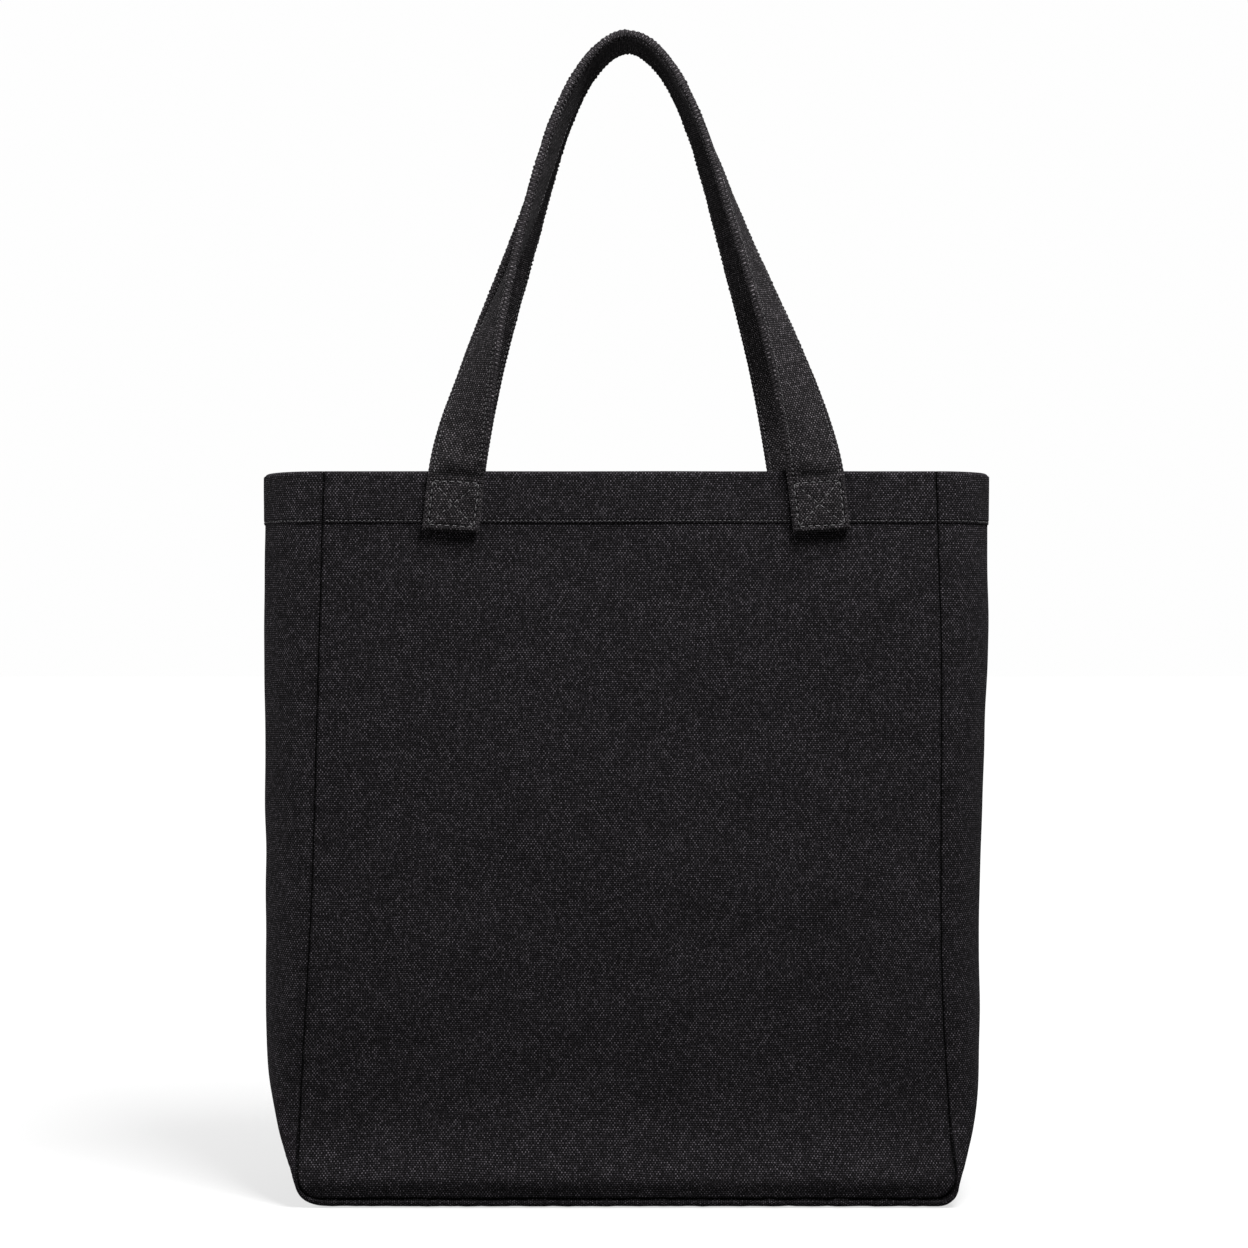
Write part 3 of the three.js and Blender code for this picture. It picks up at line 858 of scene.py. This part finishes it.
class Strap:
    """The curve of one handle: places along it, with its three directions."""

    STEP = 0.5 * MM

    def __init__(self, word, face, handles):
        self.face, self.handles = face, handles
        halves = [self.half_path(word, hand, side) for hand, side in SIDES.items()]
        line = np.concatenate([halves[0], halves[1][-2::-1]])
        run = run_along(line)
        self.length = run[-1]
        self.run = np.linspace(0, self.length, int(self.length / self.STEP))
        self.points = read_at(self.run, run, line)
        self.frames()

    def half_path(self, word, hand, side):
        """From the lower edge of a sewn-down end up to the crown."""
        handles = self.handles
        middle, along, self.facing = self.end_frame(word, hand, side)
        depth = self.face * (handles.width + handles.crown_gap) / 2
        turn = handles.crown_turn
        top = CROWN_TOP - handles.crown_drop + handles.crown_step * (self.face > 0)
        crown = np.array([depth * math.sin(turn) + handles.crown_aside, depth * math.cos(turn),
                          top - handles.thickness / 2])
        level = np.array([math.cos(turn), -math.sin(turn), 0])
        beside = crown + side * handles.crown_pull * level
        half = handles.end_length / 2
        start = middle + along * half
        leg = start + along * handles.leg_pull
        t = np.linspace(0, 1, 3000)[:, None]
        curve = ((1 - t) ** 3 * start + 3 * t * (1 - t) ** 2 * leg
                 + 3 * t ** 2 * (1 - t) * beside + t ** 3 * crown)
        share = (curve[:, 2] - start[2]) / (crown[2] - start[2])
        waist = hump(share, 0.58, 0.31) * (1 - share ** 8)
        curve[:, 0] -= side * handles.waist * waist
        return np.concatenate([[middle - along * half], curve])

    def end_frame(self, word, hand, side):
        """Middle, direction along and direction off the bag of a sewn-down end."""
        low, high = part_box(f"{word}_handle_end_{hand}")
        middle = np.array((low + high) / 2)
        tilt = self.handles.tilt
        size = high - low
        half, thick = self.handles.end_length, self.handles.thickness
        reach = half * math.cos(tilt) + self.handles.width * math.sin(tilt)
        lean = math.asin(max(0.0, (size.y - thick) / reach))
        outward = np.array([0, self.face * math.cos(lean), math.sin(lean)])
        along = np.array([-side * math.sin(tilt), 0, math.cos(tilt)])
        along = unit(along - outward * (along @ outward))
        return middle, along, outward

    def frames(self):
        """Its three directions: the strap turns edge-on above the rim."""
        handles = self.handles
        along = unit(np.gradient(self.points, axis=0))
        from_end = np.minimum(self.run, self.length - self.run) - handles.end_length
        share = np.clip(from_end / handles.twist_length, 0, 1)
        turned = 1 - (1 - share) ** handles.twist_power
        left = self.run < self.length / 2
        short = np.where(left, handles.open_left, handles.open_right) * np.sin(math.pi * share)
        past = handles.past_turn * np.sin(math.pi * share ** 1.3)
        short = np.where(left & (self.face < 0), -past, short)
        turn = (math.pi / 2 * turned - short)[:, None]
        facing = unit(self.facing - along * (along @ self.facing)[:, None])
        arch = np.cross(along, facing) * self.face
        self.along = along
        self.outward = facing * np.cos(turn) + arch * np.sin(turn)
        self.across = np.cross(self.outward, along)

    def at(self, run, across, off):
        """Points at places along the strap, across it and off its middle."""
        points, aside, outward, along = (
            read_at(run, self.run, values)
            for values in (self.points, self.across, self.outward, self.along))
        end = self.handles.end_length
        fade = ease((end + 15 * MM - np.minimum(run, self.length - run)) / (15 * MM))
        slope = math.tan(self.handles.end_shear) * fade * np.sign(run - self.length / 2)
        return (points + aside * across[..., None] + outward * off[..., None]
                + along * (slope * across)[..., None])


def strap_thickness(run, across, handles, stitching):
    """Half thickness of the strap: thin at its stitches, knobbly along its edges."""
    edge = handles.width / 2 - np.abs(across)
    phase = np.cos(2 * math.pi * run / stitching.length)
    pull = stitching.sink * hump(edge, stitching.inset, 0.75 * MM) * (1 - 0.45 * phase)
    swell = 0.16 * MM * hump(edge, 1.5 * MM, 1.1 * MM) * phase
    spots = np.stack(np.broadcast_arrays(run, across), -1)
    slack = 0.12 * MM * ripple(spots, 22 * MM, 31)
    rough = 0.2 * MM * ripple(spots, 2.3 * MM, 33) * hump(edge, 1.2 * MM, 1.3 * MM)
    return (handles.thickness / 2 - pull + slack + swell + rough) * rounded(edge / (2.1 * MM))


def box_lines(handles, stitching):
    """The square and the cross of an end's stitches: pairs of (across, along) points."""
    w = handles.width / 2 - stitching.inset
    h = handles.end_length / 2 - stitching.inset
    corners = [(-w, -h), (w, -h), (w, h), (-w, h)]
    lines = [(corners[i], corners[(i + 1) % 4]) for i in range(4)]
    return lines + [(corners[0], corners[2]), (corners[1], corners[3])]


def quilting(across, along, handles, stitching):
    """How far an end's stitches pull the cloth down at a place on it."""
    pull = np.zeros(np.broadcast(across, along).shape)
    for (ax, ay), (bx, by) in box_lines(handles, stitching):
        length = math.hypot(bx - ax, by - ay)
        ux, uy = (bx - ax) / length, (by - ay) / length
        run = np.clip((across - ax) * ux + (along - ay) * uy, 0, length)
        gap = np.hypot(across - ax - run * ux, along - ay - run * uy)
        pull = np.maximum(pull, hump(gap, 0, 0.9 * MM))
    return pull


def strap_piece(name, strap, handles, stitching):
    """One strap from end to end, folded, stitched along its edges and quilted at its ends."""
    half = handles.width / 2
    outer = columns_across(np.array([half]), STRAP_EDGE_STEPS, 12)[0]
    across = np.concatenate([outer, outer[-2:0:-1]])
    sign = np.concatenate([np.ones(len(outer)), -np.ones(len(outer) - 2)])
    run = strap.run[:, None]
    scallop = SCALLOP * np.cos(2 * math.pi * run / stitching.length)
    wide = across[None] * (1 + scallop / half)
    thick = strap_thickness(run, across[None], handles, stitching)
    middle = handles.end_length / 2
    for centre in (middle, strap.length - middle):
        on_end = np.abs(run - centre) < middle + 2 * MM
        pull = quilting(across[None], run - centre, handles, stitching)
        fade = ease((middle + 1.5 * MM - np.abs(run - centre)) / (3 * MM))
        thick = np.where(on_end & (sign > 0), thick - QUILT_SINK * pull * fade, thick)
    tip = np.minimum(run, strap.length - run)
    closing = rounded(tip / TIP_ROUND)
    above = tip - handles.end_length
    crease = hump(above, 1 * MM, 2 * MM)
    belly = hump(above, 8 * MM, 4 * MM)
    loose = np.clip(1 - (across[None] / half) ** 2, 0, 1)
    lift = (BELLY * belly - CREASE * crease) * loose ** 1.5
    points = strap.at(run, wide, sign * thick * np.maximum(closing, 0.02) + lift)
    shape = points.shape[:2]
    flat = np.stack([wide + 0.3 * (sign < 0), run + 0 * wide], -1)
    # Lighter at a strap's worn edges; painted shade in the crease just above each sewn-down end.
    tone_wear_and_painted_shade = 0.8 * ease(1.3 - (half - np.abs(across)) / (2.0 * MM)) - 0.55 * crease * loose
    piece = make_piece(name, points, [*tube_faces(*shape), *tube_ends(*shape)],
                       material("strap_canvas"), flat, tone_wear_and_painted_shade)
    return face_outwards(piece)


# ---- Thread ------------------------------------------------------------------------

STITCH_RINGS = 7
STITCH_SIDES = 6
STITCH_RISE, STITCH_SINK = 0.32, 0.35  # of its middle and of its ends, in diameters
STITCH_STRAY = 0.12 * MM               # how far a stitch lies askew
STITCH_HOLE = 0.14                     # of the pitch, from a stitch's end to the next hole


def stitch_points(starts, ends, lifts, diameter):
    """One short tapered, arched thread from each start to each end."""
    t = np.linspace(0, 1, STITCH_RINGS)
    girth = np.sqrt(np.clip(1 - (2 * t - 1) ** 4, 0.04, 1)) * diameter / 2
    rise = diameter * mix(-STITCH_SINK, STITCH_RISE, np.sin(math.pi * t))
    centre = mix(starts[:, None], ends[:, None], t[:, None]) + lifts[:, None] * rise[:, None]
    side = unit(np.cross(ends - starts, lifts))
    angle = np.linspace(0, 2 * math.pi, STITCH_SIDES, endpoint=False)
    ring = (side[:, None, None] * np.cos(angle)[:, None]
            + lifts[:, None, None] * np.sin(angle)[:, None])
    return centre[:, :, None] + ring * girth[:, None, None]


def stitches_piece(name, starts, ends, lifts, stitching, tones, seed=5):
    """Many stitches as one mesh, each a little askew and a little lighter or darker."""
    starts, ends, lifts = (np.asarray(v, float) for v in (starts, ends, lifts))
    lifts = unit(lifts)
    rng = np.random.default_rng(seed)
    aside = unit(np.cross(ends - starts, lifts))
    starts = starts + aside * rng.normal(0, STITCH_STRAY, (len(starts), 1))
    ends = ends + aside * rng.normal(0, STITCH_STRAY, (len(ends), 1))
    points = stitch_points(starts, ends, lifts, stitching.diameter)
    number, rings, sides = points.shape[:3]
    base = np.arange(number)[:, None, None] * rings * sides
    faces = [*(tube_faces(rings, sides) + base).reshape(-1, 4)]
    for end in tube_ends(rings, sides):
        faces += [*(np.array(end) + base[:, 0])]
    length = np.linalg.norm(ends - starts, axis=1).mean()
    shape = (number, rings, sides)
    flat = np.stack([np.broadcast_to(np.linspace(0, 1, sides), shape),
                     np.broadcast_to(np.linspace(0, length, rings)[:, None], shape)], -1)
    tone = np.broadcast_to(rng.uniform(*tones, (number, 1, 1)), shape)
    piece = make_piece(name, points, faces, material("sewing_thread"), flat, tone)
    return face_outwards(piece)


def stitch_run(length, spacing):
    """Starts and ends of the stitches along a line."""
    count = max(1, int(round(length / spacing)))
    pitch = length / count
    first = np.arange(count) * pitch
    return first + STITCH_HOLE * pitch, first + (1 - STITCH_HOLE) * pitch


def line_stitches(line, lifts, spacing):
    """Stitches along a dense line of points, each with its way off the cloth."""
    run = run_along(line)
    starts, ends = stitch_run(run[-1], spacing)
    return (read_at(starts, run, line), read_at(ends, run, line),
            read_at((starts + ends) / 2, run, lifts))


def hem_lines(body, cloth):
    """Lines of the hem's stitches, on the panels and the gussets, outside and inside."""
    margin = 1.5 * MM    # from a seam to the last stitch
    half = float(body.half_panel(HEM_STITCH)) - margin
    x = np.linspace(-half, half, 400)
    across = np.linspace(margin, cloth.gusset_width - margin, 160)
    lines = []
    for inset, way in ((0.0, 1), (3 * cloth.thickness, -1)):
        for face in FACES.values():
            points, _ = body.panel_points(face, x, HEM_STITCH, inset)
            lines.append((points, points * 0 + (0, way * face, 0)))
        for side in SIDES.values():
            place = (*seam_place(body, side, HEM_STITCH), inset, side * (HEM_STITCH - CROSS_SEAM))
            points, _ = body.strip_points(place, across)
            turn = math.pi * across / cloth.gusset_width
            lift = np.stack([side * np.sin(turn), -np.cos(turn), 0 * turn], -1)
            lines.append((points, way * lift))
    return lines


# ---- Operators ---------------------------------------------------------------------


class TOTE_OT_panels(bpy.types.Operator):
    """Make the front and the back panel with their turned hems"""

    bl_idname = "tote.panels"
    bl_label = "Panels"

    def execute(self, context):
        cloth = context.scene.tote_cloth
        body = Body(cloth)
        for word, face in FACES.items():
            piece = panel_piece(f"{word}_canvas", face, body, cloth)
            finish_piece(piece, "canvas", "bag", f"{word}_panel")
        return {"FINISHED"}


class TOTE_OT_gussets(bpy.types.Operator):
    """Make the strip between the panels: two gussets and the base"""

    bl_idname = "tote.gussets"
    bl_label = "Gussets and base"

    def execute(self, context):
        cloth = context.scene.tote_cloth
        body = Body(cloth)
        for hand, side in SIDES.items():
            rows = gusset_rows(body, side)
            piece = strip_piece(f"gusset_canvas_{hand}", rows, body, cloth)
            finish_piece(piece, "canvas", "bag", f"gusset_{hand}")
        rows = base_rows(body)
        piece = strip_piece("base_canvas", rows, body, cloth)
        finish_piece(piece, "canvas", "bag", "base_panel")
        return {"FINISHED"}


class TOTE_OT_bindings(bpy.types.Operator):
    """Make the tapes that bind the seams inside the bag"""

    bl_idname = "tote.bindings"
    bl_label = "Seam bindings"

    def execute(self, context):
        cloth = context.scene.tote_cloth
        body = Body(cloth)
        for word, face in FACES.items():
            piece = binding_piece(f"binding_{word}", face, body, cloth)
            finish_piece(piece, "binding", "bag", f"seam_binding_{word}")
        return {"FINISHED"}


class TOTE_OT_handles(bpy.types.Operator):
    """Make the two straps with their sewn-down ends"""

    bl_idname = "tote.handles"
    bl_label = "Handles"

    def execute(self, context):
        _, handles, stitching, _ = settings()
        for word, face in FACES.items():
            strap = Strap(word, face, handles)
            piece = strap_piece(f"{word}_handle", strap, handles, stitching)
            finish_piece(piece, "strap", None, f"{word}_handle_strap",
                         f"{word}_handle_end_left", f"{word}_handle_end_right")
            bend_at_rim(piece)
        return {"FINISHED"}


class TOTE_OT_stitches(bpy.types.Operator):
    """Make every line of stitches"""

    bl_idname = "tote.stitches"
    bl_label = "Stitches"

    def execute(self, context):
        cloth, handles, stitching, _ = settings()
        body = Body(cloth)
        lines = hem_lines(body, cloth)
        parts = [line_stitches(line, lift, stitching.length) for line, lift in lines]
        piece = stitches_piece("hem_stitches", *map(np.concatenate, zip(*parts)),
                               stitching, (-0.4, 0.2))
        finish_piece(piece, "thread", "bag", "hem_stitch")
        for word, face in FACES.items():
            strap = Strap(word, face, handles)
            self.edge_stitches(word, face, strap, handles, stitching)
            self.box_stitches(word, strap, handles, stitching)
        return {"FINISHED"}

    def edge_stitches(self, word, face, strap, handles, stitching):
        parts = []
        margin = handles.end_length + 1 * MM
        run = strap.run[(strap.run > margin) & (strap.run < strap.length - margin)]
        across = handles.width / 2 - stitching.inset
        level = handles.thickness / 2 - stitching.sink
        for edge in (-1, 1):
            for way in (-1, 1):
                line = strap.at(run, edge * across + 0 * run, way * level + 0 * run)
                off = strap.at(run, 0 * run, 1 + 0 * run) - strap.at(run, 0 * run, 0 * run)
                parts.append(line_stitches(line, way * off, stitching.length))
        piece = stitches_piece(f"{word}_edge_stitches", *map(np.concatenate, zip(*parts)),
                               stitching, (-0.3, 0.5))
        finish_piece(piece, "thread", None, f"{word}_strap_stitch_inner",
                     f"{word}_strap_stitch_outer")
        bend_at_rim(piece)

    def box_stitches(self, word, strap, handles, stitching):
        parts = []
        middle = handles.end_length / 2
        level = handles.thickness / 2 - 0.5 * MM
        for centre in (middle, strap.length - middle):
            for (ax, ay), (bx, by) in box_lines(handles, stitching):
                share = np.linspace(0, 1, 40)
                run = centre + mix(ay, by, share)
                across = mix(ax, bx, share)
                line = strap.at(run, across, level + 0 * run)
                lift = strap.at(run, across, 1 + 0 * run) - strap.at(run, across, 0 * run)
                parts.append(line_stitches(line, lift, stitching.box_length))
        piece = stitches_piece(f"{word}_box_stitches", *map(np.concatenate, zip(*parts)),
                               stitching, (0.0, 0.9))
        finish_piece(piece, "thread", "bag", f"{word}_box_stitch_left",
                     f"{word}_box_stitch_right")


def bend_at_rim(piece):
    """Bakes the placement of a piece of a handle into its mesh."""
    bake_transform(piece)


FLOOR_GLOW, FAR_GLOW = 0.52, 0.86  # what the floor adds to its light, near and far
FLOOR_NEAR, FLOOR_FAR = -0.2, 1.8
FLOOR_THROW = 0.12                 # what it throws on the bag
FLOOR_SIZE = 15.0
LIGHT_AIM = Vector((0, 0, 0.3))


class TOTE_OT_stage(bpy.types.Operator):
    """Make the floor, the light and the camera"""

    bl_idname = "tote.stage"
    bl_label = "Stage"

    def execute(self, context):
        stage = context.scene.tote_stage
        self.floor()
        self.surround(context.scene, stage)
        self.lights(stage)
        self.camera(context.scene, stage)
        context.scene.view_settings.view_transform = "Standard"
        return {"FINISHED"}

    def floor(self):
        """A white floor that throws back less light than it shows."""
        nodes = Nodes("pale_floor")
        place = nodes.add("ShaderNodeTexCoord").outputs["Object"]
        cloud = nodes.noise(place, 1.5, 2.0)
        nodes.put(nodes.shader.inputs["Roughness"], nodes.gain(cloud, 0.1, 0.75))
        nodes.shader.inputs["Base Color"].default_value = (0.2, 0.2, 0.2, 1)
        nodes.shader.inputs["Specular IOR Level"].default_value = 0.1
        nodes.shader.inputs["Emission Color"].default_value = (1, 1, 1, 1)
        glow = nodes.add("ShaderNodeMapRange", {
            "Value": nodes.parts(place)["Y"], "From Min": FLOOR_NEAR, "From Max": FLOOR_FAR,
            "To Min": FLOOR_GLOW, "To Max": FAR_GLOW}).outputs[0]
        seen = nodes.add("ShaderNodeLightPath").outputs["Is Camera Ray"]
        nodes.put(nodes.shader.inputs["Emission Strength"], nodes.gain(seen, glow, FLOOR_THROW))
        corners = [(x * FLOOR_SIZE, y * FLOOR_SIZE, 0)
                   for x, y in ((-1, -1), (1, -1), (1, 1), (-1, 1))]
        piece = make_piece("floor", np.array(corners), [[0, 1, 2, 3]], nodes.material)

    def surround(self, scene, stage):
        """White where it is seen, and a dim sky where it lights the bag."""
        scene.world = bpy.data.worlds.new("surround")
        scene.world.use_nodes = True
        tree = scene.world.node_tree
        tree.nodes.clear()
        path, seen, lit, way, parts, ramp, both, out = (
            tree.nodes.new(f"ShaderNode{kind}") for kind in
            ("LightPath", "Background", "Background", "TexCoord", "SeparateXYZ", "MapRange",
             "MixShader", "OutputWorld"))
        seen.inputs["Color"].default_value = (0.99, 0.99, 0.99, 1)
        ramp.inputs["From Min"].default_value = -0.1
        ramp.inputs["To Min"].default_value = stage.sky * 0.4
        ramp.inputs["To Max"].default_value = stage.sky * 1.5
        for start, end in ((way.outputs["Generated"], parts.inputs[0]),
                           (parts.outputs["Z"], ramp.inputs["Value"]),
                           (ramp.outputs[0], lit.inputs["Strength"]),
                           (path.outputs["Is Camera Ray"], both.inputs[0]),
                           (lit.outputs[0], both.inputs[1]),
                           (seen.outputs[0], both.inputs[2]),
                           (both.outputs[0], out.inputs["Surface"])):
            tree.links.new(start, end)

    def lights(self, stage):
        for name, power, size, place in (
                ("key_light", stage.key, 0.7, (0.4, -0.65, 1.6)),
                ("fill_light", stage.fill, 0.9, (-1.4, -0.2, 0.8))):
            lamp = bpy.data.lights.new(name, "AREA")
            lamp.energy = power
            lamp.size = size
            lamp.shape = "SQUARE"
            light = bpy.data.objects.new(name, lamp)
            light.location = place
            aim = LIGHT_AIM - light.location
            light.rotation_euler = aim.to_track_quat("-Z", "Y").to_euler()
            bpy.context.scene.collection.objects.link(light)

    def camera(self, scene, stage):
        data = bpy.data.cameras.new("camera")
        data.lens, data.shift_x = stage.lens, stage.shift
        data.sensor_width = 36
        data.clip_start, data.clip_end = 0.05, 60
        camera = bpy.data.objects.new("camera", data)
        aside = stage.distance * math.tan(stage.azimuth)
        camera.location = (aside, -stage.distance, stage.height)
        camera.rotation_euler = (math.pi / 2, 0, 0)
        scene.collection.objects.link(camera)
        scene.camera = camera


class TOTE_PT_sidebar(bpy.types.Panel):
    """Everything that makes the bag, in order"""

    bl_label = "Canvas tote bag"
    bl_idname = "TOTE_PT_sidebar"
    bl_space_type = "VIEW_3D"
    bl_region_type = "UI"
    bl_category = "Tote"

    def draw(self, context):
        for group in settings():
            box = self.layout.box()
            for key in group.__annotations__:
                box.prop(group, key)
        for operator in OPERATORS:
            self.layout.operator(operator.bl_idname)


OPERATORS = (TOTE_OT_stage, TOTE_OT_panels, TOTE_OT_gussets, TOTE_OT_bindings,
             TOTE_OT_handles, TOTE_OT_stitches)
GROUPS = {"tote_cloth": ToteCloth, "tote_handles": ToteHandles,
          "tote_stitching": ToteStitching, "tote_stage": ToteStage}


def register():
    for name, group in GROUPS.items():
        bpy.utils.register_class(group)
        setattr(bpy.types.Scene, name, bpy.props.PointerProperty(type=group))
    for cls in (*OPERATORS, TOTE_PT_sidebar):
        bpy.utils.register_class(cls)


def unregister():
    for cls in reversed((*OPERATORS, TOTE_PT_sidebar)):
        bpy.utils.unregister_class(cls)
    for name, group in reversed(GROUPS.items()):
        delattr(bpy.types.Scene, name)
        bpy.utils.unregister_class(group)


def main():
    register()
    for name in ("stage", "panels", "gussets", "bindings", "handles", "stitches"):
        getattr(bpy.ops.tote, name)()


if __name__ == "__main__":
    main()
